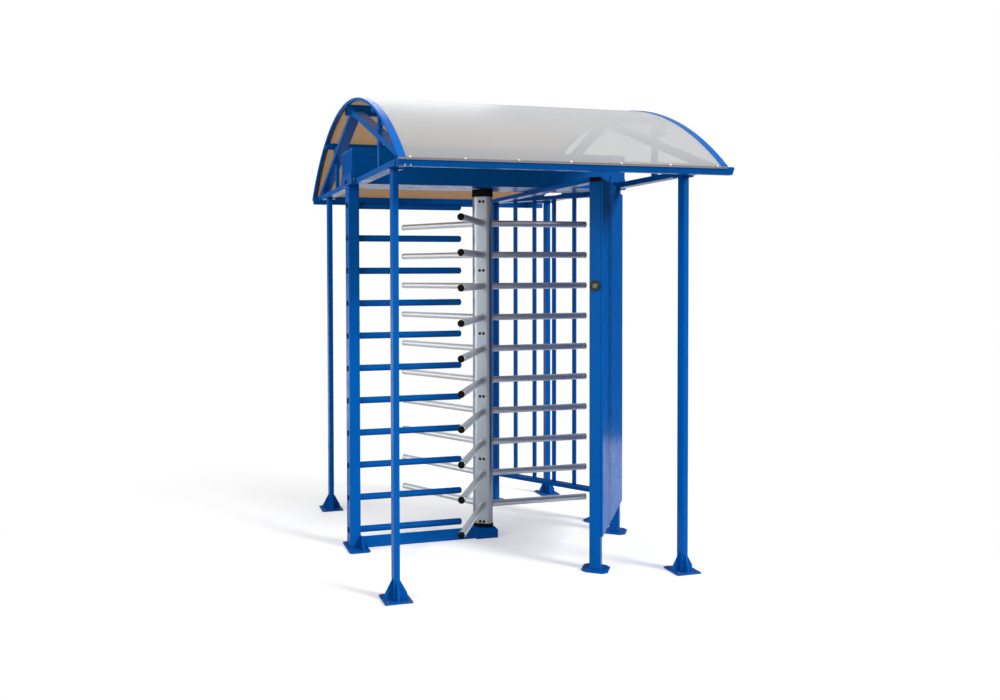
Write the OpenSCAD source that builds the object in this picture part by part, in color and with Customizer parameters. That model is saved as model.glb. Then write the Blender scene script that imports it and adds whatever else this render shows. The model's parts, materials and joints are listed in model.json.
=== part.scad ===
// Full-height turnstile under a barrel-vault canopy.
// X runs along the canopy, Y from front to back, Z up; the origin is on the floor
// under the middle of the canopy. Millimetres.

/* [Canopy] */
// Distance between the posts' centres along the canopy
post_pitch_x = 1576; // [1300:1:2000]
// Distance between the posts' centres from front to back
post_pitch_y = 1744; // [1500:1:2200]
// Width of a canopy post's tube, along the canopy
post_w = 30; // [25:1:50]
// Depth of a canopy post's tube, front to back
post_d = 60; // [40:1:70]
// Width of the flat truss tube, along the canopy
truss_w = 60; // [40:1:70]
// Thickness of the flat truss tube
truss_t = 30; // [20:1:40]
// How far the sheet and the eave beams run past the left posts' centres
left_overhang = 61; // [40:1:220]
// How far the sheet runs past the right posts' centres
sheet_overhang = 41; // [40:1:220]
// How far the eave beams run past the right posts' centres
eave_overhang = 86; // [60:1:250]
// How far the roof reaches past the posts' centres, in front and behind
roof_reach = 322; // [250:1:450]
// Rise of the roof sheet over the top of the eaves
roof_rise = 454; // [300:1:700]
// Thickness of the translucent sheet
sheet_t = 8; // [4:1:16]
// Distance of the two lower purlins from the canopy's middle
mid_purlin_y = 678; // [550:1:800]
// Distance of the upright struts from the canopy's middle
strut_y = 585; // [450:1:620]

/* [Turnstile] */
// Offset of the rotor's axis along the canopy from its middle
axis_x = -8; // [-30:1:30]
// Offset of the rotor's axis behind the canopy's middle
axis_y = 22; // [-30:1:40]
// Height of the header's underside
header_z = 2095; // [1900:1:2400]
// Height of the header box
header_h = 205; // [150:1:260]
// Width of the header box, front to back
header_w = 300; // [260:1:380]
// Radius of the circle swept by the rotor arms' tips
rotor_r = 675; // [560:1:720]
// Outer diameter of a rotor arm and of a comb arm
arm_d = 38; // [28:1:46]
// Number of arms in each of the rotor's three wings
wing_arms = 10; // [6:1:11]
// Height of the angle beam's upright leg, on the floor in front of the comb
beam_h = 67; // [50:1:100]
// Thickness of that beam's two legs
beam_t = 8; // [5:1:12]
// Gap between that beam and the lowest comb arm
comb_low_gap = 11; // [1:1:60]
// Distance from the highest comb arm's axis to the header
comb_top_gap = 113; // [80:1:200]
// Gap between the comb arms' tips and the rotor's column
comb_tip_gap = 77; // [40:1:150]
// Gap between the rotor arms' tips and the comb post
comb_gap = 95; // [30:1:150]
// Width of the comb post along the header
comb_post_w = 62; // [50:1:80]
// Depth of the comb post, front to back
comb_post_d = 98; // [80:1:120]

/* [Cage] */
// Side of a cage post's square tube
cage_post_s = 60; // [40:1:72]
// Distance from the circle that the rotor sweeps to the end cage posts' centres
cage_end_gap = 157; // [140:1:250]
// Angle at the rotor's axis between the canopy's length and the front end post
cage_end_angle = 64; // [60:1:68]
// Angle at the rotor's axis between the canopy's length and the rear end post
rear_end_angle = 65; // [60:1:68]
// Distance from the circle that the rotor sweeps to the side cage posts' centres
cage_side_gap = 127; // [115:1:200]
// Distance of the front side post's centre inside the header's front face
side_post_inset = 8; // [0:1:60]
// Distance of the rear side post's centre inside the header's rear face
rear_side_inset = 51; // [0:1:60]
// How far the header runs past the side cage posts
header_overhang = 19; // [10:1:80]
// Thickness of the cage's flat rails, which are as wide as its posts
rail_t = 25; // [20:1:40]
// Height of the underside of the cage's lower rails and of the sheet panel
panel_low = 185; // [120:1:400]
// Thickness of the sheet panel with its folded edges
panel_t = 12; // [8:1:25]
// Gap between the sheet panel and the upper rail
panel_gap = 5; // [1:1:20]
// Side of a bar's thin square tube
bar_s = 22; // [16:1:30]
// Number of upright bars in the rear panel
rear_bars = 4; // [2:1:6]

/* [Feet] */
// Side of a canopy post's square foot plate
foot_s = 140; // [120:1:180]
// Thickness of every foot plate
foot_t = 8; // [6:1:15]
// Distance between the bolt holes of a canopy foot plate
foot_hole_pitch = 108; // [90:1:140]
// Diameter of the bolt holes in every foot plate
foot_hole_d = 12; // [9:1:16]
// Side of a cage post's foot plate
cage_foot_s = 140; // [120:1:170]
// Distance between the bolt holes of a cage foot plate
cage_hole_pitch = 100; // [90:1:120]
// Width of the comb post's foot plate, along the canopy
comb_foot_w = 122; // [110:1:160]
// Depth of the comb post's foot plate, front to back
comb_foot_d = 230; // [180:1:280]

/* [Hidden] */
$fn = 64;
// A cut passes this far through the faces that it opens.
through = 1;

// The ties lie on the posts, level with the header's underside.
tie_z = header_z;
tie_top_z = tie_z + truss_t;

// Roof curve: one arc from eave to eave, over the sheet's outer face.
eave_h = 38;
eave_bottom_w = 32;
eave_top_w = 54;
eave_drop = 22;
eave_lip_h = 17;
eave_lip_t = 3;
eave_z = tie_z - eave_drop;
eave_top_z = eave_z + eave_h;
roof_w = post_pitch_y + 2 * roof_reach;
roof_r = (pow(roof_w / 2, 2) + pow(roof_rise, 2)) / (2 * roof_rise);
roof_axis_z = eave_top_z + roof_rise - roof_r;
under_r = roof_r - sheet_t;
arch_t = 6;
arch_w = 14;
// The sheet's underside and the arches meet the eaves' flat tops this far from the middle.
arch_end_y = sqrt(pow(under_r, 2) - pow(eave_top_z - roof_axis_z, 2));
strip_t = 3;
strip_w = 36;
strip_lip = 8;
purlin_w = 40;
purlin_h = 25;
purlin_tilt = asin(mid_purlin_y / under_r);
ridge_w = 36;
ridge_h = 60;
ridge_low_z = under_z(ridge_w / 2) - ridge_h;

// The overhangs differ, so the posts stand off the middle of the roof's length.
canopy_x = (left_overhang + strip_t - eave_overhang) / 2;
rotor_x = canopy_x + axis_x;
sheet_x0 = post_x(-1) - left_overhang;
sheet_x1 = post_x(1) + sheet_overhang;
sheet_l = sheet_x1 - sheet_x0;
eave_l = post_x(1) + eave_overhang - sheet_x0;

// Canopy frame.
post_y = post_pitch_y / 2;
top_plate_s = 76;
top_plate_t = 6;
post_top_z = tie_z - top_plate_t;
tie_reach = 132;
tie_end_y = post_y + tie_reach;
tie_tongue_t = 10;
strut_w = 20;
strut_d = 40;
strut_web_t = 6;
strut_web_h = 60;
strut_top_z = under_z(mid_purlin_y) - purlin_h * cos(purlin_tilt);
gusset_t = 6;
gusset_h = 100;
gusset_low_h = 22;
gusset_inset = 12;
gusset_reach = foot_s / 2 - gusset_inset;
eave_inner_y = roof_w / 2 - eave_top_w;
diagonal_seat_h = 20;
diagonal_seat_z = eave_z + diagonal_seat_h;
diagonal_slope = atan2(ridge_low_z - diagonal_seat_z, eave_inner_y - ridge_w / 2);

// Rotor.
column_lobe_c = 32;
column_lobe_r = 32;
column_flat_r = column_lobe_c / 2 + column_lobe_r;
corner_step = 10;
collar_h = 20;
collar_gap = 5;
collar_grow = 3;
top_collar_h = 45;
spindle_r = 22;
spindle_depth = 40;
bore_clearance = 0.05;
cap_l = 14;
tip_bevel = 7;

// Comb, base beam and floor bearing.
comb_post_r = rotor_r + comb_gap + comb_post_w / 2;
comb_tip_r = column_lobe_c + column_lobe_r + comb_tip_gap;
comb_low = beam_h + comb_low_gap + arm_d / 2;
arm_pitch = (header_z - comb_low - comb_top_gap) / wing_arms;
rotor_low = comb_low + arm_pitch / 2;
comb_x = rotor_x - comb_post_r;
comb_inner_x = comb_x + comb_post_w / 2;
comb_plate_dx = 8;
comb_plate_dy = -33;
comb_plate_x = comb_x + comb_plate_dx;
comb_plate_y = axis_y + comb_plate_dy;
comb_plate_clip = 12;
comb_hole_inset = 18;
comb_hole_inset_y = 40;
beam_plate_gap = 1;
block_r = 68;
block_h = 60;
block_chamfer = 10;
collar_low_z = block_h + collar_gap;
column_low_z = collar_low_z + collar_h;
column_top_z = header_z - collar_gap - top_collar_h;

// Cage: an end post and a side post carry each slanted side.
header_front_y = axis_y - header_w / 2;
header_rear_y = axis_y + header_w / 2;
cage_side_x = rotor_x + rotor_r + cage_side_gap;
side_front_y = header_front_y + side_post_inset;
side_rear_y = header_rear_y - rear_side_inset;
side_mid_y = (side_front_y + side_rear_y) / 2;
side_l = side_rear_y - side_front_y;
upper_rail_z = header_z - rail_t;
lower_rail_top = panel_low + rail_t;
cage_plate_clip = 26;
lock_z = 1520;
lock_d = 56;
lock_t = 10;

// The header reaches over the comb post, the cage and both ties.
cage_post_reach = cage_post_s / 2 * (cos(slant_turn(1)) + sin(slant_turn(1)));
header_left_x = min(comb_x - comb_post_w / 2, post_x(-1) - truss_w / 2);
header_right_x = max(cage_side_x + cage_post_reach + header_overhang, post_x(1) + truss_w / 2);

blue = "royalblue";

// ---- Shapes shared by several pieces ----

// A box centred in plan, standing on z.
module upright(x, y, z, w, d, h) {
    translate([x - w / 2, y - d / 2, z]) cube([w, d, h]);
}

// A plate with four bolt holes, its corners cut off by the given amount.
module holed_plate(w, d, hole_pitch_x, hole_pitch_y, clip) {
    linear_extrude(foot_t) difference() {
        polygon([[-w / 2 + clip, -d / 2], [w / 2 - clip, -d / 2],
            [w / 2, -d / 2 + clip], [w / 2, d / 2 - clip],
            [w / 2 - clip, d / 2], [-w / 2 + clip, d / 2],
            [-w / 2, d / 2 - clip], [-w / 2, -d / 2 + clip]]);
        for (sx = [-1, 1], sy = [-1, 1])
            translate([sx * hole_pitch_x, sy * hole_pitch_y] / 2) circle(d = foot_hole_d);
    }
}

// The ring between two radii about the roof's axis, along the canopy, cut off at the eaves.
module roof_band(outer, inner, x0, x1, half_w) {
    intersection() {
        translate([x0, 0, roof_axis_z]) rotate([90, 0, 90]) linear_extrude(x1 - x0) difference() {
            circle(r = outer, $fn = 240);
            circle(r = inner, $fn = 240);
        }
        translate([x0 - through, -half_w, eave_z])
            cube([x1 - x0 + 2 * through, 2 * half_w, roof_r]);
    }
}

// Height of the roof's underside at a distance from the middle.
function under_z(y) = roof_axis_z + sqrt(under_r * under_r - y * y);

// Where the posts of one side stand along the canopy.
function post_x(sx) = canopy_x + sx * post_pitch_x / 2;

// ---- Canopy ----

module canopy_post(sx, sy) {
    color(blue) upright(post_x(sx), sy * post_y, foot_t, post_w, post_d, post_top_z - foot_t);
}

// One web of a foot: it slopes from beside the post down to near the plate's edge.
module gusset(inner) {
    rotate([90, 0, 0]) translate([0, 0, -gusset_t / 2]) linear_extrude(gusset_t)
        polygon([[inner, foot_t], [gusset_reach, foot_t], [gusset_reach, foot_t + gusset_low_h],
            [inner, foot_t + gusset_h]]);
}

module canopy_foot(sx, sy) {
    color(blue) translate([post_x(sx), sy * post_y, 0]) {
        holed_plate(foot_s, foot_s, foot_hole_pitch, foot_hole_pitch, 0);
        for (side = [0, 180]) {
            rotate(side) gusset(post_w / 2);
            rotate(side + 90) gusset(post_d / 2);
        }
    }
}

// A tie lies on two posts with a plate welded under it at each; the header interrupts it.
// A tongue on each of its ends carries a diagonal.
module tie(sx) {
    color(blue) for (sy = [-1, 1]) {
        inner = sy < 0 ? -header_front_y : header_rear_y;
        translate([post_x(sx) - truss_w / 2, sy < 0 ? -tie_end_y : inner, tie_z])
            cube([truss_w, tie_end_y - inner, truss_t]);
        upright(post_x(sx), sy * post_y, post_top_z, top_plate_s, top_plate_s, top_plate_t);
        difference() {
            translate([post_x(sx) - tie_tongue_t / 2, sy < 0 ? -eave_inner_y : tie_end_y, tie_z])
                cube([tie_tongue_t, eave_inner_y - tie_end_y, truss_t]);
            diagonals(sx);
        }
    }
}

// A diagonal falls from the ridge purlin's side to the eave's inner face, over the tie's end.
module diagonal() {
    intersection() {
        translate([-truss_w / 2, eave_inner_y, diagonal_seat_z]) rotate([-diagonal_slope, 0, 0])
            translate([0, -2 * eave_inner_y, 0]) cube([truss_w, 3 * eave_inner_y, truss_t]);
        translate([-truss_w, ridge_w / 2, eave_z])
            cube([2 * truss_w, eave_inner_y - ridge_w / 2, roof_r]);
    }
}

module diagonals(sx) {
    color(blue) translate([post_x(sx), 0, 0]) for (side = [0, 1])
        mirror([0, side, 0]) diagonal();
}

// Upright struts stand on the tie and are let into the diagonals; a web behind each strut's
// head carries the lower purlin.
module struts(sx) {
    web_l = mid_purlin_y - strut_y + purlin_w / 2;
    color(blue) for (side = [0, 1]) mirror([0, side, 0]) difference() {
        union() {
            upright(post_x(sx), strut_y, tie_top_z, strut_w, strut_d, strut_top_z - tie_top_z);
            translate([post_x(sx) - strut_web_t / 2, strut_y, strut_top_z - strut_web_h])
                cube([strut_web_t, web_l, strut_web_h]);
        }
        at_lower_purlin() translate([post_x(sx) - truss_w, -web_l, -purlin_h])
            cube([2 * truss_w, 3 * web_l, roof_rise]);
        diagonals(sx);
    }
}

// A flat bar bent to the sheet's curve carries each of its edges.
module arch(sx) {
    color(blue) difference() {
        roof_band(under_r, under_r - arch_t, sx < 0 ? sheet_x0 : sheet_x1 - arch_w,
            sx < 0 ? sheet_x0 + arch_w : sheet_x1, arch_end_y);
        purlin_ridge();
        purlins_mid();
        eave(-1);
        eave(1);
    }
}

// A folded strip covers the sheet's cut edge, and its lip hangs lower beside the arch.
module edge_strip(sx) {
    lip_x0 = sx < 0 ? sheet_x0 - strip_t : sheet_x1;
    top_x0 = sx < 0 ? lip_x0 : lip_x0 + strip_t - strip_w;
    color(blue) {
        roof_band(roof_r + strip_t, roof_r, top_x0, top_x0 + strip_w, roof_w / 2);
        roof_band(roof_r + strip_t, under_r, lip_x0, lip_x0 + strip_t, roof_w / 2);
        if (sx < 0) roof_band(roof_r + strip_t, roof_r - strip_lip, lip_x0, lip_x0 + strip_t, roof_w / 2);
        else difference() {
            roof_band(roof_r + strip_t, roof_r - strip_lip, lip_x0, lip_x0 + strip_t, arch_end_y);
            eave(-1);
            eave(1);
        }
    }
}

// The eave beam's outer face leans out, and its top corner is cut to the sheet's curve.
// A lip stands along its inner face for the length of the sheet.
module eave(sy) {
    lip_y = eave_inner_y + eave_lip_t / 2;
    color(blue) difference() {
        union() {
            translate([sheet_x0, 0, 0]) rotate([90, 0, 90]) linear_extrude(eave_l)
                polygon([[sy * eave_inner_y, eave_z], [sy * (eave_inner_y + eave_bottom_w), eave_z],
                    [sy * roof_w / 2, eave_top_z], [sy * eave_inner_y, eave_top_z]]);
            upright((sheet_x0 + sheet_x1) / 2, sy * lip_y, eave_z, sheet_l, eave_lip_t,
                eave_h + eave_lip_h);
        }
        roof_band(roof_r + roof_rise, under_r, sheet_x0 - through, sheet_x0 + eave_l + through, roof_w);
    }
}

module purlin_ridge() {
    color(blue) intersection() {
        translate([sheet_x0, -ridge_w / 2, ridge_low_z]) cube([sheet_l, ridge_w, ridge_h + ridge_w]);
        roof_band(under_r, under_r - 2 * ridge_h, sheet_x0, sheet_x1, roof_w);
    }
}

// Places its children behind, on the sheet's underside where the lower purlin touches it,
// with Y down the sheet's slope.
module at_lower_purlin() {
    translate([0, mid_purlin_y, under_z(mid_purlin_y)]) rotate([-purlin_tilt, 0, 0]) children();
}

module purlins_mid() {
    color(blue) for (side = [0, 1]) mirror([0, side, 0]) intersection() {
        at_lower_purlin() translate([sheet_x0, -purlin_w / 2, -purlin_h])
            cube([sheet_l, purlin_w, 2 * purlin_h]);
        roof_band(under_r, under_r - 2 * purlin_h, sheet_x0, sheet_x1, roof_w);
    }
}

module roof_sheet() {
    color("gainsboro", 0.5) roof_band(roof_r, under_r, sheet_x0, sheet_x1, roof_w / 2);
}

// ---- Turnstile: the fixed parts ----

module header_box() {
    color(blue) difference() {
        translate([header_left_x, header_front_y, header_z])
            cube([header_right_x - header_left_x, header_w, header_h]);
        translate([rotor_x, axis_y, header_z - through])
            cylinder(r = spindle_r + bore_clearance, h = spindle_depth + through);
    }
}

module comb_post() {
    color(blue)
        upright(comb_x, axis_y, foot_t, comb_post_w, comb_post_d, header_z - foot_t);
}

module comb_arms() {
    straight_l = rotor_x - comb_tip_r - tip_bevel - comb_inner_x;
    color(blue) for (i = [0 : wing_arms])
        translate([comb_inner_x, axis_y, comb_low + i * arm_pitch]) rotate([0, 90, 0]) {
            cylinder(d = arm_d, h = straight_l);
            translate([0, 0, straight_l])
                cylinder(d1 = arm_d, d2 = arm_d - 2 * tip_bevel, h = tip_bevel);
        }
}

// The angle beam lies between the comb post and the bearing, its upright leg in front, and is
// cut away over the post's foot plate.
module base_beam() {
    color(blue) difference() {
        translate([comb_inner_x, axis_y - comb_post_d / 2, 0]) rotate([90, 0, 90])
            linear_extrude(rotor_x - block_r - comb_inner_x)
                polygon([[0, 0], [comb_post_d, 0], [comb_post_d, beam_t], [beam_t, beam_t],
                    [beam_t, beam_h], [0, beam_h]]);
        upright(comb_plate_x, axis_y, -through, comb_foot_w + 2 * beam_plate_gap,
            comb_post_d + 2 * through, foot_t + beam_plate_gap + through);
    }
}

// The floor bearing's housing, with its upper edges bevelled.
module bearing_block() {
    color(blue) translate([rotor_x, axis_y, 0]) difference() {
        intersection() {
            rotate([90, 0, 0]) translate([0, 0, -block_r]) linear_extrude(2 * block_r) block_outline();
            rotate([90, 0, 90]) translate([0, 0, -block_r]) linear_extrude(2 * block_r) block_outline();
        }
        translate([0, 0, block_h - spindle_depth])
            cylinder(r = spindle_r + bore_clearance, h = spindle_depth + through);
    }
}

module block_outline() {
    polygon([[-block_r, 0], [block_r, 0], [block_r, block_h - block_chamfer],
        [block_r - block_chamfer, block_h], [-block_r + block_chamfer, block_h],
        [-block_r, block_h - block_chamfer]]);
}

// ---- Cage ----

// Centre of the front or the rear end post.
function end_x(sy) = rotor_x + (rotor_r + cage_end_gap) * cos(sy < 0 ? cage_end_angle : rear_end_angle);
function end_y(sy) = axis_y + sy * (rotor_r + cage_end_gap) * sin(sy < 0 ? cage_end_angle : rear_end_angle);

// From the end post's centre to the side post's: across, front to back, in all, and its angle.
function slant_dx(sy) = cage_side_x - end_x(sy);
function slant_dy(sy) = abs(end_y(sy) - (sy < 0 ? side_front_y : side_rear_y));
function slant_l(sy) = sqrt(pow(slant_dx(sy), 2) + pow(slant_dy(sy), 2));
function slant_turn(sy) = atan2(slant_dx(sy), slant_dy(sy));

// Places its children along a slanted side: the end post's centre is the origin, and the side
// post's centre lies at slant_l along +Y in front and along -Y behind.
module on_slant(sy) {
    translate([end_x(sy), end_y(sy), 0]) rotate(sy * slant_turn(sy)) children();
}

// The end post or the side post of one slanted side.
module cage_post(is_end, sy) {
    color(blue) on_slant(sy)
        upright(0, is_end ? 0 : -sy * slant_l(sy), foot_t, cage_post_s, cage_post_s,
            upper_rail_z - foot_t);
}

// The bolted plates under the comb post and the four cage posts.
module floor_plates() {
    color(blue) {
        translate([comb_plate_x, comb_plate_y, 0])
            holed_plate(comb_foot_w, comb_foot_d, comb_foot_w - 2 * comb_hole_inset,
                comb_foot_d - 2 * comb_hole_inset_y, comb_plate_clip);
        for (sy = [-1, 1], along = [0, slant_l(sy)]) on_slant(sy) translate([0, -sy * along, 0])
            holed_plate(cage_foot_s, cage_foot_s, cage_hole_pitch, cage_hole_pitch, cage_plate_clip);
    }
}

// The upper rail of a slanted side lies on its two posts; a cut that fits it is taller.
module upper_rail(sy, taller = 0) {
    on_slant(sy) upright(0, -sy * slant_l(sy) / 2, upper_rail_z - taller, cage_post_s,
        slant_l(sy) + cage_post_s, rail_t + 2 * taller);
}

// All the cage's rails but the long one: the upper ones, and the lower ones between the posts.
module cage_rails() {
    color(blue) {
        for (sy = [-1, 1]) {
            upper_rail(sy);
            on_slant(sy) upright(0, -sy * slant_l(sy) / 2, panel_low, cage_post_s,
                slant_l(sy) - cage_post_s, rail_t);
        }
        difference() {
            upright(cage_side_x, side_mid_y, panel_low, cage_post_s, side_l, rail_t);
            cage_post(false, -1);
            cage_post(false, 1);
        }
    }
}

// The long rail joins the two upper rails and passes under the header.
module top_rail() {
    dx = end_x(1) - end_x(-1);
    dy = end_y(1) - end_y(-1);
    color(blue) difference() {
        translate([end_x(-1), end_y(-1), upper_rail_z]) rotate(-atan2(dx, dy))
            translate([-cage_post_s / 2, 0, 0]) cube([cage_post_s, sqrt(dx * dx + dy * dy), rail_t]);
        upper_rail(-1, through);
        upper_rail(1, through);
    }
}

// A sheet on the outside of the two front posts.
module panel_front() {
    color(blue) on_slant(-1)
        upright(cage_post_s / 2 + panel_t / 2, slant_l(-1) / 2, panel_low, panel_t,
            slant_l(-1) + cage_post_s, upper_rail_z - panel_gap - panel_low);
}

// Upright bars stand on the lower rails: evenly spaced ones behind, flush with the rails'
// outside, and one between the side posts.
module cage_bars() {
    gap = (slant_l(1) - cage_post_s - rear_bars * bar_s) / (rear_bars + 1);
    color(blue) {
        for (i = [1 : rear_bars]) on_slant(1)
            upright((cage_post_s - bar_s) / 2, -cage_post_s / 2 - i * gap - (i - 0.5) * bar_s,
                lower_rail_top, bar_s, bar_s, upper_rail_z - lower_rail_top);
        upright(cage_side_x, side_mid_y, lower_rail_top, bar_s, bar_s, header_z - lower_rail_top);
    }
}

module lock_disc() {
    color("darkkhaki") on_slant(-1) translate([0, -cage_post_s / 2, lock_z]) rotate([90, 0, 0])
        cylinder(d = lock_d, h = lock_t);
}

// ---- Rotor ----

// Triangle with rounded corners and a flat towards each wing.
module column_outline(grow) {
    lobe = column_lobe_r + grow;
    polygon([for (corner = [60, 180, 300], turn = [-60 : corner_step : 60])
        column_lobe_c * [cos(corner), sin(corner)]
        + lobe * [cos(corner + turn), sin(corner + turn)]]);
}

module on_rotor() {
    translate([rotor_x, axis_y, 0]) children();
}

module rotor_column() {
    color("silver") on_rotor() translate([0, 0, column_low_z])
        linear_extrude(column_top_z - column_low_z) column_outline(0);
}

// The collars close the column and carry the spindles that turn in the two bearings.
module rotor_collar_base() {
    color("black") on_rotor() {
        translate([0, 0, collar_low_z]) linear_extrude(collar_h) column_outline(collar_grow);
        translate([0, 0, block_h - spindle_depth + collar_gap])
            cylinder(r = spindle_r, h = spindle_depth + collar_h / 2);
    }
}

module rotor_collar_top() {
    color("black") on_rotor() {
        translate([0, 0, column_top_z]) linear_extrude(top_collar_h) column_outline(collar_grow);
        translate([0, 0, header_z - collar_gap - collar_h / 2])
            cylinder(r = spindle_r, h = spindle_depth + collar_h / 2);
    }
}

module wing_tubes(angle, r0, r1) {
    on_rotor() rotate(angle) for (i = [0 : wing_arms - 1])
        translate([r0, 0, rotor_low + i * arm_pitch]) rotate([0, 90, 0])
            cylinder(d = arm_d, h = r1 - r0);
}

module rotor_wing(angle) {
    color("silver") wing_tubes(angle, column_flat_r, rotor_r - cap_l);
}

module rotor_arm_caps() {
    color("black") for (angle = [0, 120, 240]) wing_tubes(angle, rotor_r - cap_l, rotor_r);
}

canopy_post(-1, -1);  // post_front_left
canopy_post(1, -1);  // post_front_right
canopy_post(-1, 1);  // post_rear_left
canopy_post(1, 1);  // post_rear_right
canopy_foot(-1, -1);  // foot_front_left
canopy_foot(1, -1);  // foot_front_right
canopy_foot(-1, 1);  // foot_rear_left
canopy_foot(1, 1);  // foot_rear_right
tie(-1);  // tie_left
tie(1);  // tie_right
diagonals(-1);  // diagonals_left
diagonals(1);  // diagonals_right
struts(-1);  // struts_left
struts(1);  // struts_right
arch(-1);  // arch_left
arch(1);  // arch_right
edge_strip(-1);  // edge_strip_left
edge_strip(1);  // edge_strip_right
eave(-1);  // eave_front
eave(1);  // eave_rear
purlin_ridge();
purlins_mid();
roof_sheet();
header_box();
comb_post();
comb_arms();
base_beam();
bearing_block();
cage_post(true, -1);  // cage_post_front
cage_post(false, -1);  // cage_post_side_front
cage_post(false, 1);  // cage_post_side_rear
cage_post(true, 1);  // cage_post_rear
floor_plates();
cage_rails();
top_rail();
panel_front();
cage_bars();
lock_disc();
rotor_column();
rotor_collar_top();
rotor_collar_base();
rotor_wing(-120);  // rotor_wing_front
rotor_wing(120);  // rotor_wing_rear
rotor_wing(0);  // rotor_wing_side
rotor_arm_caps();
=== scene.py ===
"""Looks of the full-height turnstile with its canopy: materials, fixings and a plain studio."""

import json
import math

import bmesh
import bpy
from mathutils import Matrix, Vector


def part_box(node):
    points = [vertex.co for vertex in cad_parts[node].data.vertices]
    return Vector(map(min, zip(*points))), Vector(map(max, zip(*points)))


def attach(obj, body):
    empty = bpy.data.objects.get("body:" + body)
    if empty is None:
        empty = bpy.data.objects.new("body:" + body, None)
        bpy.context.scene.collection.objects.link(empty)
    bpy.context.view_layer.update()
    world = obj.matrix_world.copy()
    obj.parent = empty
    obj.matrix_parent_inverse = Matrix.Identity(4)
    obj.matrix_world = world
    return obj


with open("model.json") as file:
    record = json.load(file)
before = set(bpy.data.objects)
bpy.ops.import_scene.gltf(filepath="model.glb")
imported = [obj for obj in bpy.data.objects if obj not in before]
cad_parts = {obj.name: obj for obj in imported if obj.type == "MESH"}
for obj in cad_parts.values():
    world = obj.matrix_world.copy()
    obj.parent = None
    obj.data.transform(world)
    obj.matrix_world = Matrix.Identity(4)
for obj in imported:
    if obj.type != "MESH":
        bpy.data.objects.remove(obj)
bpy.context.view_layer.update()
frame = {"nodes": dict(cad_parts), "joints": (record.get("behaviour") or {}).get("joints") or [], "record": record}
record = frame["record"]
nodes = frame["nodes"]

X, Y, Z = Vector((1, 0, 0)), Vector((0, 1, 0)), Vector((0, 0, 1))
MM = 0.001


# ---- Where things are, from the CAD model ----

def middle(name):
    lo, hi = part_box(name)
    return (lo + hi) / 2


def turned_about_z(vector, degrees):
    return Matrix.Rotation(math.radians(degrees), 3, "Z") @ vector


def heading(vector):
    """A level direction's angle from +X, in degrees."""
    return math.degrees(math.atan2(vector.y, vector.x))


mounts = {m["name"]: m for m in record["mounts"]}


def mount_at(name):
    return Vector(mounts[name]["pos_m"])


PLATE_TOP = mount_at("comb_bolts").z
AXIS = Vector(frame["joints"][0]["pos_m"])
WING_ANGLES = {"rotor_wing_front": -120, "rotor_wing_rear": 120, "rotor_wing_side": 0}
SIDE_LOW, SIDE_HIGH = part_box("rotor_wing_side")
ARM_R = (SIDE_HIGH.y - SIDE_LOW.y) / 2
ARM_END = SIDE_HIGH.x - AXIS.x
WING_LOW = SIDE_LOW.z + ARM_R
WING_HIGH = SIDE_HIGH.z - ARM_R
WING_ARMS = 10
PITCH = (WING_HIGH - WING_LOW) / (WING_ARMS - 1)
COMB_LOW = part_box("comb_arms")[0].z + ARM_R
COMB_HEIGHTS = [COMB_LOW + i * PITCH for i in range(WING_ARMS + 1)]
COLUMN_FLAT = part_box("rotor_column")[1].x - AXIS.x
SHEET_LOW, SHEET_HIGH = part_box("roof_sheet")
SHEET_T = 8 * MM
SHEET_HALF = SHEET_HIGH.y
SHEET_DEEP = SHEET_HIGH.z - SHEET_LOW.z
ROOF_R = (SHEET_DEEP ** 2 + SHEET_HALF ** 2 - SHEET_T ** 2) / (2 * (SHEET_DEEP - SHEET_T))
ROOF_AXIS_Z = SHEET_HIGH.z - ROOF_R
SHEET_MID_X = (SHEET_LOW.x + SHEET_HIGH.x) / 2
CORNERS = ("front_left", "front_right", "rear_left", "rear_right")
POST_X = [mount_at("canopy_bolts_front_" + side).x for side in ("left", "right")]
POST_Y = mount_at("canopy_bolts_rear_left").y
CAGE_POST = 60 * MM
CAGE_PAIRS = {"cage_bolts_front": "cage_bolts_side_front", "cage_bolts_rear": "cage_bolts_side_rear"}
TIE_T = 30 * MM
STRIP_T = 3 * MM
PURLIN_Y = 678 * MM
STRUT_Y = 585 * MM
LOCK_T = 10 * MM
M6, M8 = 6 * MM, 8 * MM


def on_roof(x, y, lift=0.0):
    """The point of the roof's outer face over (x, y), and the way out of the roof there."""
    out = Vector((0, y, math.sqrt(ROOF_R ** 2 - y ** 2))).normalized()
    return Vector((x, 0, ROOF_AXIS_Z)) + out * (ROOF_R + lift), out


# ---- Materials ----

class Nodes:
    """A node tree, with short ways to add and join nodes."""

    def __init__(self, tree):
        self.tree = tree

    def set(self, made, inputs):
        for key, value in inputs.items():
            if isinstance(value, bpy.types.NodeSocket):
                self.tree.links.new(value, made.inputs[key])
            else:
                made.inputs[key].default_value = value

    def add(self, kind, inputs=None, **settings):
        made = self.tree.nodes.new(kind)
        for key, value in settings.items():
            setattr(made, key, value)
        self.set(made, inputs or {})
        return made

    def math(self, operation, a, b):
        return self.add("ShaderNodeMath", {0: a, 1: b}, operation=operation).outputs[0]

    def blend(self, share, a, b):
        """Numbers a and b mixed."""
        rest = self.math("SUBTRACT", 1.0, share)
        return self.math("ADD", self.math("MULTIPLY", a, rest), self.math("MULTIPLY", b, share))

    def ramp(self, value, frm, low=0.0, high=1.0, kind="SMOOTHSTEP"):
        """Value's range frm spread over low to high."""
        inputs = {"Value": value, "From Min": frm[0], "From Max": frm[1], "To Min": low, "To Max": high}
        return self.add("ShaderNodeMapRange", inputs, interpolation_type=kind).outputs["Result"]


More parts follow.
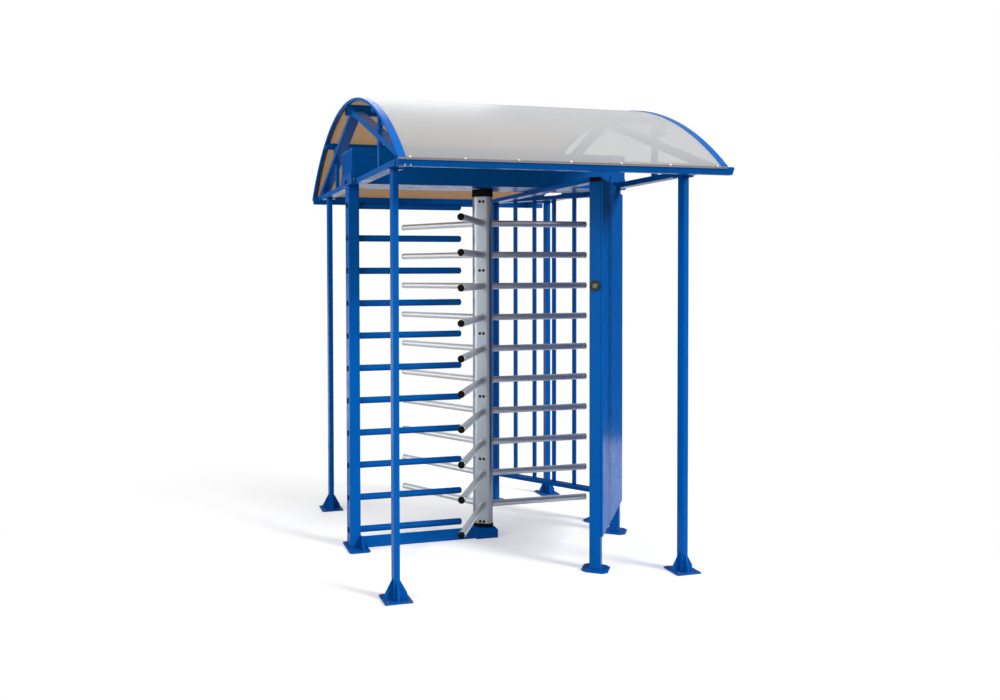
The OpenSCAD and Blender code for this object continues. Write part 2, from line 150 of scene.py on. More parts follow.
class Paint(Nodes):
    """A material's node tree, with its shader, its output and the piece's own coordinates."""

    def __init__(self, name, color, roughness, metallic=0.0):
        self.material = bpy.data.materials.new(name)
        self.material.use_nodes = True
        self.material.diffuse_color = (*color, 1)
        super().__init__(self.material.node_tree)
        self.shader = self.tree.nodes["Principled BSDF"]
        self.output = self.tree.nodes["Material Output"]
        self.coords = self.add("ShaderNodeTexCoord").outputs["Object"]
        self.set(self.shader, {"Base Color": (*color, 1), "Roughness": roughness, "Metallic": metallic})

    def stretched(self, scale, turn=0.0):
        rotation = (0, 0, math.radians(turn))
        turned = self.add("ShaderNodeMapping", {"Vector": self.coords, "Rotation": rotation})
        return self.add("ShaderNodeMapping", {"Vector": turned.outputs[0], "Scale": scale}).outputs[0]

    def noise(self, scale, detail, vector=None):
        inputs = {"Vector": vector or self.coords, "Scale": scale, "Detail": detail}
        return self.add("ShaderNodeTexNoise", inputs).outputs["Fac"]

    def spread(self, value, low, high, frm=(0.3, 0.7)):
        """A straight ramp; a noise keeps mostly between 0.3 and 0.7."""
        return self.ramp(value, frm, low, high, "LINEAR")

    def mix(self, share, a, b):
        """Colours a and b mixed; the mix node keeps its colours in sockets 6 and 7 and gives socket 2."""
        a, b = (c if isinstance(c, bpy.types.NodeSocket) else (*c, 1) for c in (a, b))
        return self.add("ShaderNodeMix", {0: share, 6: a, 7: b}, data_type="RGBA").outputs[2]

    def bump(self, height, strength, distance):
        made = self.add("ShaderNodeBump", {"Height": height, "Strength": strength, "Distance": distance})
        self.set(self.shader, {"Normal": made.outputs["Normal"]})

    def split(self, vector):
        return self.add("ShaderNodeSeparateXYZ", {"Vector": vector})


def blue_powder_coat(name, ior, roughness, tone=1.0):
    """Powder coat: orange peel, faint cloudiness, and dust near the floor; tone lightens it, which paints in a
    highlight where it is above 1.
    """
    p = Paint(name, (0.0, 0.094 * tone, 0.38 * tone), roughness)
    cloud = p.spread(p.noise(2.5, 4.0), 0.0, 1.0)
    base = p.mix(cloud, (0.0, 0.088 * tone, 0.36 * tone), (0.0, 0.097 * tone, 0.39 * tone))
    height = p.split(p.coords).outputs["Z"]
    low = p.spread(height, 0.1, 0.0, (0.0, 0.05))
    dusty = p.math("MULTIPLY", low, p.spread(p.noise(40.0, 5.0), 0.1, 1.0))
    smudge = p.spread(p.noise(9.0, 5.0), roughness - 0.06, roughness + 0.06)
    p.set(p.shader, {
        "Base Color": p.mix(dusty, base, (0.08, 0.15, 0.32)),
        "Roughness": p.math("ADD", smudge, p.math("MULTIPLY", dusty, 0.4)),
        "IOR": ior,
    })
    peel = p.math("ADD", p.noise(700.0, 2.0), p.math("MULTIPLY", p.noise(160.0, 1.0), 0.6))
    p.bump(peel, 0.12, 0.3 * MM)
    return p.material


def brushed(name, color, roughness, scale, turn=0.0, metallic=1.0):
    """Metal with fine lines along one direction and a little cloudiness."""
    p = Paint(name, color, roughness, metallic)
    lines = p.noise(1.0, 3.0, p.stretched(scale, turn))
    cloud = p.noise(14.0, 4.0)
    shade = p.math("ADD", p.math("MULTIPLY", lines, 0.55), p.math("MULTIPLY", cloud, 0.45))
    dark = tuple(c * 0.93 for c in color)
    p.set(p.shader, {
        "Base Color": p.mix(p.spread(shade, 0.0, 1.0), dark, color),
        "Roughness": p.spread(shade, roughness - 0.03, roughness + 0.04),
    })
    return p.material


def black_plastic():
    """Matt black plastic with a fine moulded grain."""
    p = Paint("black_moulded_plastic", (0.003, 0.003, 0.004), 0.5)
    grain = p.noise(1400.0, 2.0)
    p.set(p.shader, {
        "Base Color": p.mix(p.noise(25.0, 4.0), (0.002, 0.002, 0.002), (0.005, 0.005, 0.006)),
        "Roughness": p.spread(grain, 0.45, 0.6),
        "IOR": 1.15,
    })
    p.bump(grain, 0.25, 0.2 * MM)
    return p.material


def roof_plastic():
    """Translucent sheet: bronze inside, and silver-grey outside as a painted reflection of the bright sky; less
    clear where it is seen at a slant.
    """
    p = Paint("bronze_roof_sheet", (0.6, 0.6, 0.6), 0.2)
    normal_z = p.split(p.add("ShaderNodeNewGeometry").outputs["True Normal"]).outputs["Z"]
    inside = p.spread(normal_z, 1.0, 0.0, (-0.02, 0.02))
    lines = p.noise(1.0, 2.0, p.stretched((2.0, 90.0, 2.0)))
    cloud = p.noise(3.0, 3.0)
    # The outside's silver-grey colour is a painted reflection of the sky over the bronze sheet; the inside keeps
    # the sheet's own bronze.
    sky_reflection_painted = p.mix(cloud, (0.55, 0.57, 0.595), (0.60, 0.62, 0.645))
    bronze = p.mix(cloud, (0.33, 0.185, 0.085), (0.40, 0.225, 0.10))
    p.set(p.shader, {
        "Base Color": p.mix(inside, sky_reflection_painted, bronze),
        "Roughness": p.spread(lines, 0.3, 0.42),
        "IOR": 1.2,
    })
    p.bump(lines, 0.05, 0.4 * MM)
    glow_color = p.mix(inside, (0.66, 0.66, 0.66), (0.48, 0.29, 0.14))
    glow = p.add("ShaderNodeBsdfTranslucent", {"Color": glow_color})
    share = p.spread(inside, 0.12, 0.3, (0.0, 1.0))
    solid = p.add("ShaderNodeMixShader", {0: share, 1: p.shader.outputs[0], 2: glow.outputs[0]})
    clear_color = p.mix(inside, (0.88, 0.9, 0.92), (0.88, 0.74, 0.58))
    clear = p.add("ShaderNodeBsdfTransparent", {"Color": clear_color})
    slant = p.add("ShaderNodeLayerWeight", {"Blend": 0.5}).outputs["Facing"]
    cover = p.mix(inside, p.spread(slant, 0.4, 0.95, (0.4, 0.88)), (0.55, 0.55, 0.55))
    both = p.add("ShaderNodeMixShader", {0: cover, 1: clear.outputs[0], 2: solid.outputs[0]})
    p.set(p.output, {"Surface": both.outputs[0]})
    return p.material


def worn(name, dark, light):
    """Dulled metal with small spots between two tones."""
    p = Paint(name, light, 0.4, 1.0)
    spots = p.spread(p.noise(260.0, 5.0), 0.0, 1.0)
    p.set(p.shader, {
        "Base Color": p.mix(spots, dark, light),
        "Roughness": p.spread(spots, 0.5, 0.3, (0.0, 1.0)),
    })
    p.bump(spots, 0.12, 0.2 * MM)
    return p.material


ALUMINIUM = (0.31, 0.34, 0.375)
STAINLESS = (0.62, 0.645, 0.66)
BLUE = blue_powder_coat("blue_powder_coat", 1.12, 0.3)
# The edge strips take the same blue lightened by a third: a painted highlight for the light their tops catch.
STRIP_BLUE_PAINTED_HIGHLIGHT = blue_powder_coat("blue_strip_coat_painted_highlight", 1.15, 0.22, 1.35)
BLACK = black_plastic()
SHEET = roof_plastic()
BRASS = worn("worn_brass", (0.012, 0.011, 0.008), (0.05, 0.041, 0.023))
RUSTED = worn("browned_brass", (0.16, 0.09, 0.04), (0.34, 0.22, 0.12))
ZINC = worn("dull_zinc", (0.12, 0.13, 0.12), (0.26, 0.26, 0.23))
NICKEL = worn("dull_nickel", (0.07, 0.08, 0.075), (0.15, 0.16, 0.145))
BRIGHT = worn("bright_zinc", (0.62, 0.64, 0.66), (0.80, 0.82, 0.84))
COLUMN = brushed("brushed_aluminium", ALUMINIUM, 0.33, (400.0, 400.0, 3.0))
ARMS = {name: brushed("brushed_" + name, STAINLESS, 0.34, (3.0, 160.0, 160.0), -angle, 0.65)
        for name, angle in WING_ANGLES.items()}

FINISH_OF = {"polycarbonate": SHEET, "lock_brass": BRASS, "black_plastic": BLACK, "satin_metal": COLUMN,
             "blue_paint": BLUE}
for part in record["subparts"]:
    mesh = nodes[part["node"]].data
    mesh.materials.clear()
    mesh.materials.append(ARMS.get(part["node"], FINISH_OF[part["material_slot"]]))
# The edge strips get the lightened blue, their painted highlight.
for side in ("left", "right"):
    nodes["edge_strip_" + side].data.materials[0] = STRIP_BLUE_PAINTED_HIGHLIGHT


# ---- Rounded edges on the CAD pieces ----

WELD_DISTANCE = 0.01 * MM
SHARP_ANGLE = math.radians(35)


def rounded(name, width):
    """Welds the node's split vertices and rounds its edges, leaving the mesh itself alone."""
    obj = nodes[name]
    for face in obj.data.polygons:
        face.use_smooth = True
    weld = obj.modifiers.new("weld", "WELD")
    weld.merge_threshold = WELD_DISTANCE
    bevel = obj.modifiers.new("bevel", "BEVEL")
    bevel.width = width
    bevel.segments = 2
    bevel.limit_method = "ANGLE"
    bevel.angle_limit = SHARP_ANGLE
    bevel.use_clamp_overlap = True
    obj.modifiers.new("normals", "WEIGHTED_NORMAL")


EDGE_WIDTHS = {
    4.0 * MM: ["panel_front"],
    3.0 * MM: [*("post_" + corner for corner in CORNERS), "comb_post", "cage_post_front",
               "cage_post_side_front", "cage_post_side_rear", "cage_post_rear", "base_beam"],
    2.0 * MM: ["cage_rails", "top_rail", "header_box", "struts_left", "struts_right", "bearing_block",
               "rotor_collar_base", "rotor_collar_top", "rotor_arm_caps", "comb_arms", "cage_bars"],
    1.0 * MM: [*("foot_" + corner for corner in CORNERS), "purlin_ridge", "purlins_mid", "eave_front",
               "eave_rear", "rotor_column", "floor_plates", "lock_disc", "arch_left", "arch_right",
               "diagonals_left", "diagonals_right", "tie_left", "tie_right",
               "edge_strip_left", "edge_strip_right"],
    0.4 * MM: [*WING_ANGLES, "roof_sheet"],
}
for edge_width, names in EDGE_WIDTHS.items():
    for node_name in names:
        rounded(node_name, edge_width)


# ---- Pieces made here ----

SMOOTH_ANGLE = math.radians(32)


class Piece:
    """Gathers closed shapes in the row frame and makes one object of them."""

    def __init__(self, name):
        self.name = name
        self.bm = bmesh.new()

    def turned(self, at, axis, profile, sides=24, closed=False, turn=0.0):
        """A shape turned about axis from (radius, height) points; closed joins the last to the first."""
        u = axis.cross(Z if abs(axis.z) < 0.9 else X).normalized()
        v = axis.cross(u).normalized()
        rings = []
        for radius, height in profile:
            centre = at + axis * height
            if radius == 0:
                rings.append([self.bm.verts.new(centre)])
                continue
            rings.append([])
            for i in range(sides):
                a = 2 * math.pi * i / sides + turn
                rings[-1].append(self.bm.verts.new(centre + (u * math.cos(a) + v * math.sin(a)) * radius))
        pairs = list(zip(rings, rings[1:])) + ([(rings[-1], rings[0])] if closed else [])
        for a, b in pairs:
            for i in range(sides):
                j = (i + 1) % sides
                ring = [a[i % len(a)], a[j % len(a)], b[j % len(b)], b[i % len(b)]]
                self.bm.faces.new(list(dict.fromkeys(ring)))

    def prism(self, outline, at, u, v, depth):
        """An outline in the plane of u and v through at, pushed out by depth along their normal."""
        n = u.cross(v).normalized()
        low = [self.bm.verts.new(at + u * a + v * b) for a, b in outline]
        high = [self.bm.verts.new(p.co + n * depth) for p in low]
        self.bm.faces.new(low)
        self.bm.faces.new(high)
        for i in range(len(low)):
            j = (i + 1) % len(low)
            self.bm.faces.new([low[i], low[j], high[j], high[i]])

    def slab(self, centre, size, turn=0.0, edge=1.0 * MM):
        """A box with rounded edges, turned about Z."""
        u, v = turned_about_z(X, turn), turned_about_z(Y, turn)
        made = bmesh.ops.create_cube(self.bm, size=1.0)
        for vert in made["verts"]:
            x, y, z = (share * length for share, length in zip(vert.co, size))
            vert.co = centre + u * x + v * y + Z * z
        edges = list({e for vert in made["verts"] for e in vert.link_edges})
        bmesh.ops.bevel(self.bm, geom=edges, offset=edge, segments=2, affect="EDGES", clamp_overlap=True)

    def hex_bolt(self, at, axis, size):
        """A hexagon head on a washer, standing on at; size is the thread's diameter."""
        rim, base = size * 1.05, size * 0.18
        self.turned(at, axis, [(0, -size * 0.2), (rim, -size * 0.2), (rim, base * 0.8),
                               (rim * 0.96, base), (0, base)])
        head, r = size * 0.64, size * 0.92
        self.turned(at, axis, [(0, base - size * 0.1), (r, base - size * 0.1), (r, base + head * 0.82),
                               (r * 0.88, base + head), (0, base + head)], sides=6, turn=0.3)

    def pan_screw(self, at, axis, r, washer_r=0.0):
        """A low domed screw head with a hollow in its middle, on a sealing washer if it has one."""
        base = 0.0
        if washer_r:
            base = r * 0.3
            self.turned(at, axis, [(0, -r), (washer_r, -r), (washer_r, base * 0.4),
                                   (washer_r * 0.86, base), (0, base)])
        self.turned(at, axis, [(0, -r), (r, -r), (r, base + r * 0.2), (r * 0.86, base + r * 0.48),
                               (r * 0.5, base + r * 0.66), (r * 0.3, base + r * 0.68),
                               (r * 0.22, base + r * 0.35), (0, base + r * 0.3)], sides=16)

    def cap(self, at, axis, r, height):
        """A domed plug standing on at."""
        self.turned(at, axis, [(0, -height), (r, -height), (r, height * 0.4), (r * 0.9, height * 0.8),
                               (r * 0.6, height), (0, height * 1.05)], sides=20)

    def ring(self, at, axis, inner, outer, height, edge, sides=32):
        """A ring round axis with softened outer edges."""
        self.turned(at, axis, [(inner, 0), (outer - edge, 0), (outer, edge), (outer, height - edge),
                               (outer - edge, height), (inner, height)], sides=sides, closed=True)

    def done(self, body, material):
        """Makes the object, smooth but for its sharp edges, and puts it on its body and slot."""
        bmesh.ops.recalc_face_normals(self.bm, faces=self.bm.faces)
        mesh = bpy.data.meshes.new(self.name)
        self.bm.to_mesh(mesh)
        self.bm.free()
        mesh.shade_smooth()
        mesh.set_sharp_from_angle(angle=SMOOTH_ANGLE)
        mesh.materials.append(material)
        obj = bpy.data.objects.new(self.name, mesh)
        bpy.context.scene.collection.objects.link(obj)
        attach(obj, body)


BESIDE = {**CAGE_PAIRS, **{side: end for end, side in CAGE_PAIRS.items()}}


def pattern(name):
    """Four places in a square round a bolt pattern's middle, a cage post's square with its slanted side.

    They are the holes' centres but for comb_bolts, whose holes lie 32 mm further out along Y.
    """
    at = mount_at(name)
    dims = mounts[name]["dims"]
    if name in BESIDE:
        start, reach = heading(mount_at(BESIDE[name]) - at), dims["pcd_mm"] / 2 * MM
    else:
        start, reach = 0, dims["spacing_x_mm"] / 2 * math.sqrt(2) * MM
    return [at + turned_about_z(X * reach, start + 45 + 90 * i) for i in range(4)]


# Feet: anchors in the plates, with sunk sockets in the turnstile's own.
anchors = Piece("canopy_anchor_bolts")
for corner in CORNERS:
    for hole in pattern("canopy_bolts_" + corner):
        anchors.hex_bolt(hole, Z, M8)
anchors.done("frame", ZINC)

SOCKET_BOLT = [(0, -5 * MM), (5.6 * MM, -5 * MM), (5.6 * MM, -1.5 * MM), (4.4 * MM, -0.6 * MM),
               (2.6 * MM, -0.6 * MM), (2.4 * MM, -3.5 * MM), (0, -3.5 * MM)]
small = Piece("turnstile_anchor_bolts")
for where in ("comb_bolts", *BESIDE):
    for hole in pattern(where):
        small.turned(hole, Z, SOCKET_BOLT, sides=20)
small.done("frame", BLACK)

# Comb post: a black plug opposite each arm.
post_low, post_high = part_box("comb_post")
PLUG_R, PLUG_H = 17 * MM, 5.5 * MM
plugs = Piece("comb_post_plugs")
for height in COMB_HEIGHTS:
    plugs.cap(Vector((post_low.x, AXIS.y, height)), -X, PLUG_R, PLUG_H)
plugs.done("frame", BLACK)

# A gusset that stands on that post's foot plate, forward from the post's inner side.
GUSSET_L, GUSSET_H, GUSSET_T = 88 * MM, 66 * MM, 6 * MM
GUSSET_TOP_L, GUSSET_TOE = 16 * MM, 4 * MM
gusset = Piece("comb_post_gusset")
gusset.prism([(0, 0), (GUSSET_L, 0), (GUSSET_L, GUSSET_TOE), (GUSSET_TOP_L, GUSSET_H), (0, GUSSET_H)],
             Vector((post_high.x + GUSSET_T, post_low.y, PLATE_TOP)), -Y, Z, GUSSET_T)
gusset.done("frame", BLUE)

# Welded collars where the comb arms leave their post.
welds = Piece("comb_arm_welds")
for height in COMB_HEIGHTS:
    welds.ring(Vector((post_high.x, AXIS.y, height)), X, ARM_R - 0.5 * MM, ARM_R + 2.5 * MM,
               3 * MM, 1.4 * MM)
welds.done("frame", BLUE)

# Rotor: pairs of black screws on the column's three flats, between every second pair of arms.
SCREW_OFF = 11 * MM
TOP_PAIR_LIFT = 34 * MM
COLUMN_SCREW = [(0, -4 * MM), (8.4 * MM, -4 * MM), (8.4 * MM, 1.2 * MM), (7.4 * MM, 2 * MM),
                (4.4 * MM, 2 * MM), (3.8 * MM, 0.6 * MM), (0, 0.6 * MM)]
screws = Piece("column_screws")
for angle in WING_ANGLES.values():
    out = turned_about_z(X, angle)
    side = turned_about_z(Y, angle)
    for height in [*COMB_HEIGHTS[:-2:2], COMB_HEIGHTS[-1] + TOP_PAIR_LIFT]:
        for off in (-SCREW_OFF, SCREW_OFF):
            at = AXIS + out * COLUMN_FLAT + side * off + Z * height
            screws.turned(at, out, COLUMN_SCREW, sides=20)
screws.done("rotor", BLACK)

# A weld ring and a steel sleeve on every rotor arm, and a black plug in the sleeve's end.
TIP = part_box("rotor_arm_caps")[1].x - AXIS.x
SLEEVE_OVER, PLUG_IN = 6 * MM, 6 * MM
END_PLUG = [(0, 0), (ARM_R - 0.6 * MM, 0), (ARM_R - 0.6 * MM, 5 * MM), (ARM_R - 2 * MM, 7.5 * MM),
            (ARM_R * 0.62, 10 * MM), (ARM_R * 0.3, 11 * MM), (0, 11.3 * MM)]
arm_plugs = Piece("rotor_arm_plugs")
for name, angle in WING_ANGLES.items():
    out = turned_about_z(X, angle)
    rings = Piece(name + "_rings")
    for i in range(WING_ARMS):
        centre = AXIS + Z * (WING_LOW + i * PITCH)
        rings.ring(centre + out * (ARM_END - SLEEVE_OVER), out, ARM_R - 1 * MM, ARM_R + 0.6 * MM,
                   TIP - ARM_END + 2 * MM, 1 * MM)
        rings.ring(centre + out * (COLUMN_FLAT - 1 * MM), out, ARM_R - 1 * MM, ARM_R + 3 * MM,
                   4 * MM, 1.5 * MM)
        arm_plugs.turned(centre + out * (TIP - PLUG_IN), out, END_PLUG, sides=28)
    rings.done("rotor", ARMS[name])
arm_plugs.done("rotor", BLACK)

# Header: ribs on both end covers, and the lid's lip along the front and the back.
head_low, head_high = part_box("header_box")
head_mid = (head_low + head_high) / 2
head_size = head_high - head_low
RIBS = 9
RIB_INSET, RIB_W, RIB_LIFT = 20 * MM, 9 * MM, 8 * MM
RIB_SHORTER = 50 * MM
LIP_H, LIP_TOP = 54 * MM, 1 * MM
TRIM_T = 3 * MM
rib_pitch = (head_size.y - 2 * RIB_INSET) / (RIBS - 1)
trim = Piece("header_trim")
for k in range(RIBS):
    for x in (head_low.x - 0.5 * MM, head_high.x + 0.5 * MM):
        trim.slab(Vector((x, head_low.y + RIB_INSET + k * rib_pitch, head_mid.z + RIB_LIFT)),
                  (TRIM_T, RIB_W, head_size.z - RIB_SHORTER))
for y in (head_low.y - 0.6 * MM, head_high.y + 0.6 * MM):
    trim.slab(Vector((head_mid.x, y, head_high.z - LIP_TOP - LIP_H / 2)),
              (head_size.x - 1 * MM, TRIM_T, LIP_H))
trim.done("frame", BLUE)

# A plate low on each end of the header, with a slot drawn as a black patch, painted shade for the opening, and a
# bolted plate round each corner.
END_PLATE_T, END_PLATE_H = 6 * MM, 66 * MM
CORNER_PLATE = (36 * MM, 6 * MM, 46 * MM)
SLOT = (3 * MM, 70 * MM, 22 * MM)
end_plates = Piece("header_end_plates")
slots = Piece("header_slot_painted_shade")
corner_bolts = Piece("header_corner_bolts")
for x, out in ((head_low.x, -1), (head_high.x, 1)):
    end_plates.slab(Vector((x + out * 2 * MM, head_mid.y, head_low.z + 32 * MM)),
                    (END_PLATE_T, head_size.y - 4 * MM, END_PLATE_H))
    # The slot is a thin black slab on the plate: painted shade for the opening.
    slots.slab(Vector((x + out * 4.4 * MM, AXIS.y + 3 * MM, head_low.z + 21 * MM)), SLOT)
    for y, back in ((head_low.y, -1), (head_high.y, 1)):
        corner = Vector((x - out * 13 * MM, y + back * 2 * MM, head_low.z + 20 * MM))
        end_plates.slab(corner, CORNER_PLATE)
        corner_bolts.hex_bolt(corner + Vector((0, back * CORNER_PLATE[1] / 2, 3 * MM)), Y * back, M8)
end_plates.done("frame", BLUE)
slots.done("frame", BLACK)
corner_bolts.done("frame", RUSTED)

# Angle brackets that bolt the header down on the ties, in front of it and behind it.
BRACKET, BRACKET_T = 64 * MM, 6 * MM
BRACKET_BACK_T, BRACKET_BACK_H = 5 * MM, 56 * MM
BRACKET_BOLT_OFF = 16 * MM
bracket = Piece("header_brackets")
bracket_bolts = Piece("header_bracket_bolts")
for tie in ("tie_left", "tie_right"):
    for y, back in ((head_low.y, -1), (head_high.y, 1)):
        at = Vector((middle(tie).x, y + back * BRACKET / 2, head_low.z + TIE_T + 2 * MM))
        bracket.slab(at, (BRACKET, BRACKET, BRACKET_T))
        bracket.slab(Vector((at.x, y + back * BRACKET_BACK_T / 2, at.z + 26 * MM)),
                     (BRACKET, BRACKET_BACK_T, BRACKET_BACK_H))
        for off in (-BRACKET_BOLT_OFF, BRACKET_BOLT_OFF):
            bracket_bolts.hex_bolt(at + Vector((off, back * 10 * MM, BRACKET_T / 2)), Z, M8)
bracket.done("frame", BLUE)
bracket_bolts.done("frame", BRASS)

# Black caps on the ends of the ties and of the cage's slanted rails.
TIE_PAST_POST = 132 * MM
caps = Piece("tube_end_caps")
for post_x in POST_X:
    for sy in (-1, 1):
        caps.slab(Vector((post_x, sy * (POST_Y + TIE_PAST_POST + 1.5 * MM), head_low.z + TIE_T / 2)),
                  (58 * MM, 5 * MM, TIE_T - 2 * MM))
rail_low, rail_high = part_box("top_rail")
for end, side in CAGE_PAIRS.items():
    along = (mount_at(side) - mount_at(end)).normalized()
    at = mount_at(end) - along * (CAGE_POST / 2 + 0.5 * MM)
    at.z = (rail_low.z + rail_high.z) / 2
    caps.slab(at, (4 * MM, CAGE_POST - 2 * MM, rail_high.z - rail_low.z - 1 * MM), heading(along))
caps.done("frame", BLACK)

# Roof: bright screws along the mid purlins and along the sheet's lower edges.
SCREW_PITCH = 262 * MM
SCREW_R, WASHER_R = 4 * MM, 7 * MM
sheet_screws = Piece("sheet_screws")
for i in range(-3, 4):
    for sy in (-1, 1):
        for y in (PURLIN_Y, SHEET_HALF - 4 * MM):
            at, out = on_roof(SHEET_MID_X + i * SCREW_PITCH, sy * y)
            sheet_screws.pan_screw(at, out, SCREW_R, WASHER_R)
sheet_screws.done("frame", BRIGHT)

# Screws through the edge strips, the same to the front and to the back.
STRIP_SCREWS_Y = (214 * MM, 641 * MM, 905 * MM, 1169 * MM)
strip_screws = Piece("strip_screws")
for strip in ("edge_strip_left", "edge_strip_right"):
    for sy in (-1, 1):
        for y in STRIP_SCREWS_Y:
            at, out = on_roof(middle(strip).x, sy * y, STRIP_T)
            strip_screws.pan_screw(at, out, 4.2 * MM)
strip_screws.done("frame", ZINC)

# Black caps on the ridge purlin's ends, just inside the strips' lips.
RIDGE_CAP = (4 * MM, 37 * MM, 45 * MM)
ridge_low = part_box("purlin_ridge")[0].z
purlin_caps = Piece("purlin_end_caps")
for x in (SHEET_LOW.x + 1.5 * MM, SHEET_HIGH.x - 1.5 * MM):
    purlin_caps.slab(Vector((x, 0, ridge_low + 22 * MM)), RIDGE_CAP)
purlin_caps.done("frame", BLACK)

# Screws that slant into the eave beams by the ties, and bolts through the struts' heads.
eave_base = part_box("eave_front")[0].z
strut_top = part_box("struts_left")[1].z
frame_bolts = Piece("canopy_frame_bolts")
for post_x in POST_X:
    for sy in (-1, 1):
        for off in (-24 * MM, 4 * MM):
            at = Vector((post_x + off, sy * (SHEET_HALF - 24.5 * MM), eave_base + 3 * MM))
            frame_bolts.pan_screw(at, (Y * sy - Z * 0.6).normalized(), 5 * MM)
        for drop in (14 * MM, 42 * MM):
            frame_bolts.hex_bolt(Vector((post_x - 10 * MM, sy * STRUT_Y, strut_top - drop)), -X, M6)
frame_bolts.done("frame", ZINC)

# Two bright screws near the left end of each eave beam, on its leaning face.
EAVE_LEAN = 17 * MM
eave_screws = Piece("eave_screws")
for name, back in (("eave_front", -1), ("eave_rear", 1)):
    low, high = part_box(name)
    face_y = (low.y if back < 0 else high.y) - back * EAVE_LEAN
    for off in (34 * MM, 62 * MM):
        at = Vector((low.x + off, face_y, low.z + 8 * MM))
        eave_screws.pan_screw(at, Y * back, SCREW_R, WASHER_R)
eave_screws.done("frame", BRIGHT)

# Lock: a ring, a core and a keyhole on the disc's outer face; the keyhole is a small black slab, painted shade for
# the hole.
lock_out = (mount_at("cage_bolts_front") - mount_at("cage_bolts_side_front")).normalized()
face = middle("lock_disc") + lock_out * (LOCK_T / 2)
sunk = face - lock_out * 1 * MM
lock_ring = Piece("lock_ring")
lock_ring.ring(sunk, lock_out, 19 * MM, 27 * MM, 3 * MM, 1 * MM, 40)
lock_ring.done("frame", BRASS)
core = Piece("lock_core")
core.turned(sunk, lock_out, [(0, 0), (13 * MM, 0), (13 * MM, 2 * MM), (12 * MM, 3 * MM), (0, 3 * MM)],
            sides=32)
core.done("frame", NICKEL)
keyhole = Piece("lock_keyhole_painted_shade")
keyhole.slab(face + lock_out * 2.2 * MM, (2.4 * MM, 2.4 * MM, 11 * MM), 0, 0.4 * MM)
keyhole.done("frame", BLACK)


# ---- Studio ----

FLOOR_R = 3.6
FLOOR_DROP = 0.5 * MM


def studio_floor():
    """A disc of floor, white to the camera further out, with the object's shadow left on it.

    It is paler where the camera or a mirrored ray meets it than where it lights the object.
    """
    mesh = bpy.data.meshes.new("studio_floor")
    bm = bmesh.new()
    bmesh.ops.create_circle(bm, cap_ends=True, segments=96, radius=FLOOR_R)
    bm.to_mesh(mesh)
    bm.free()
    obj = bpy.data.objects.new("studio_floor", mesh)
    obj.location.z = -FLOOR_DROP
    bpy.context.scene.collection.objects.link(obj)
    p = Paint("studio_floor", (0.7, 0.7, 0.7), 0.6)
    ray = p.add("ShaderNodeLightPath").outputs
    seen = p.math("MAXIMUM", ray["Is Camera Ray"], ray["Is Transmission Ray"])
    pale = p.math("MAXIMUM", seen, p.math("MULTIPLY", ray["Is Glossy Ray"], 0.65))
    floor_color = p.mix(pale, (0.5, 0.5, 0.5), (1.25, 1.25, 1.25))
    matt = p.add("ShaderNodeBsdfDiffuse", {"Color": floor_color})
    white = p.add("ShaderNodeEmission", {"Color": (1, 1, 1, 1), "Strength": 1.0})
    away = p.add("ShaderNodeVectorMath", {0: p.coords}, operation="LENGTH").outputs["Value"]
    share = p.math("MULTIPLY", seen, p.spread(away, 0.3, 1.0, (1.3, 3.0)))
    shown = p.add("ShaderNodeMixShader", {0: share, 1: matt.outputs[0], 2: white.outputs[0]})
    p.set(p.output, {"Surface": shown.outputs[0]})
    mesh.materials.append(p.material)


def studio_world():
    """White to the camera; light from overhead and from the left, darker to the right and below.

    Far behind the object the floor is bright, but for a dark corner on the right. Mirrored rays have
    levels of their own: pale in front and on the floor, and darker behind.
    """
    world = bpy.data.worlds.new("studio")
    bpy.context.scene.world = world
    world.use_nodes = True
    n = Nodes(world.node_tree)
    generated = n.add("ShaderNodeTexCoord").outputs["Generated"]
    east, north, up = n.add("ShaderNodeSeparateXYZ", {"Vector": generated}).outputs
    ray = n.add("ShaderNodeLightPath").outputs
    mirror = ray["Is Glossy Ray"]
    dark_corner = n.math("MULTIPLY", n.ramp(east, (0.48, 0.66)), n.ramp(north, (0.2, 0.5)))

    lit_side = n.math("MAXIMUM", n.math("SUBTRACT", 0.27, n.math("MULTIPLY", east, 0.18)), 0.08)
    mirrored_side = n.blend(dark_corner, n.ramp(north, (0.1, 0.7), 0.62, 0.16), 0.02)
    side = n.blend(mirror, lit_side, mirrored_side)
    above = n.blend(n.ramp(up, (0.15, 0.45)), side, n.blend(mirror, 0.42, 0.6))
    near_floor = n.blend(mirror, 0.15, 0.6)
    far_floor = n.blend(n.ramp(north, (0.5, 0.9)), near_floor, 1.4)
    below = n.math("MULTIPLY", far_floor, n.math("SUBTRACT", 1.0, dark_corner))
    level = n.blend(n.ramp(up, (-0.05, 0.0), 1.0, 0.0), above, below)

    seen = n.math("MAXIMUM", ray["Is Camera Ray"], ray["Is Transmission Ray"])
    background = n.tree.nodes["Background"]
    n.set(background, {"Color": (1, 1, 1, 1), "Strength": n.blend(seen, level, 1.0)})


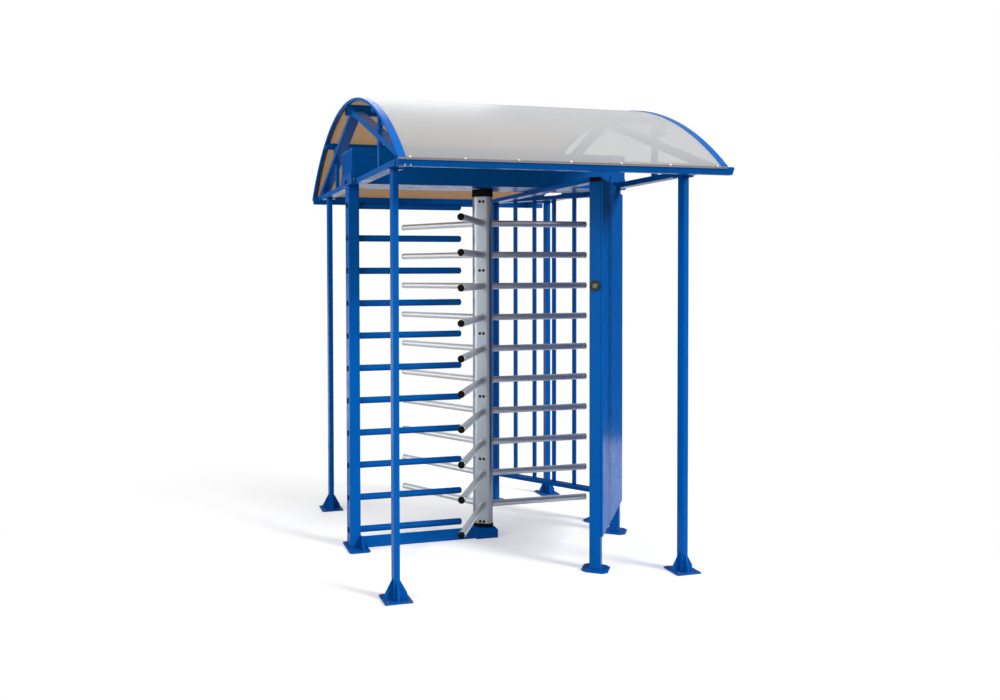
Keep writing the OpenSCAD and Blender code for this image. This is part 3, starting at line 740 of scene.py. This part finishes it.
def light(name, kind, energy, towards, at=(0, 0, 0)):
    """Makes a light that shines towards a direction and returns it, for the settings of its kind."""
    made = bpy.data.lights.new(name, kind)
    made.energy = energy
    obj = bpy.data.objects.new(name, made)
    obj.location = at
    obj.rotation_mode = "QUATERNION"
    obj.rotation_quaternion = Vector(towards).to_track_quat("-Z", "Y")
    bpy.context.scene.collection.objects.link(obj)
    return made


def softbox(name, at, aim, size, watts):
    made = light(name, "AREA", watts, Vector(aim) - Vector(at), at)
    made.shape = "RECTANGLE"
    made.size, made.size_y = size


def sun(name, towards, strength, spread):
    light(name, "SUN", strength, towards).angle = math.radians(spread)


studio_floor()
studio_world()
softbox("top", at=(0.35, 3.85, 5.2), aim=(-0.4, 0, 2.3), size=(2.6, 2.6), watts=45)
sun("side", towards=(-0.66, 0.75, -0.45), strength=3.1, spread=20)
sun("key", towards=(0.92, 0.3, -0.2), strength=2.2, spread=70)


# ---- Camera: the view that the posts' feet, the arms and the roof were fitted to ----

CAMERA_AT = Vector((-1.874, -5.060, 1.592))
YAW, PITCH_UP, ROLL = 0.2594, -0.0220, -0.0039
SENSOR_W, FOCAL_LENGTH = 36, 32.18
SHIFT_X, SHIFT_Y = 0.0982, -0.0574
SEES_TO = 200

forward = Vector((math.sin(YAW) * math.cos(PITCH_UP), math.cos(YAW) * math.cos(PITCH_UP),
                  math.sin(PITCH_UP)))
level = Vector((math.cos(YAW), -math.sin(YAW), 0))
upward = level.cross(forward)
right = level * math.cos(ROLL) + upward * math.sin(ROLL)
top = upward * math.cos(ROLL) - level * math.sin(ROLL)
lens = bpy.data.cameras.new("camera")
lens.sensor_width = SENSOR_W
lens.lens = FOCAL_LENGTH
lens.shift_x, lens.shift_y = SHIFT_X, SHIFT_Y
lens.clip_end = SEES_TO
camera = bpy.data.objects.new("camera", lens)
camera.matrix_world = Matrix((
    (right.x, top.x, -forward.x, CAMERA_AT.x),
    (right.y, top.y, -forward.y, CAMERA_AT.y),
    (right.z, top.z, -forward.z, CAMERA_AT.z),
    (0, 0, 0, 1)))
bpy.context.scene.collection.objects.link(camera)
bpy.context.scene.camera = camera
bpy.context.scene.view_settings.view_transform = "Standard"
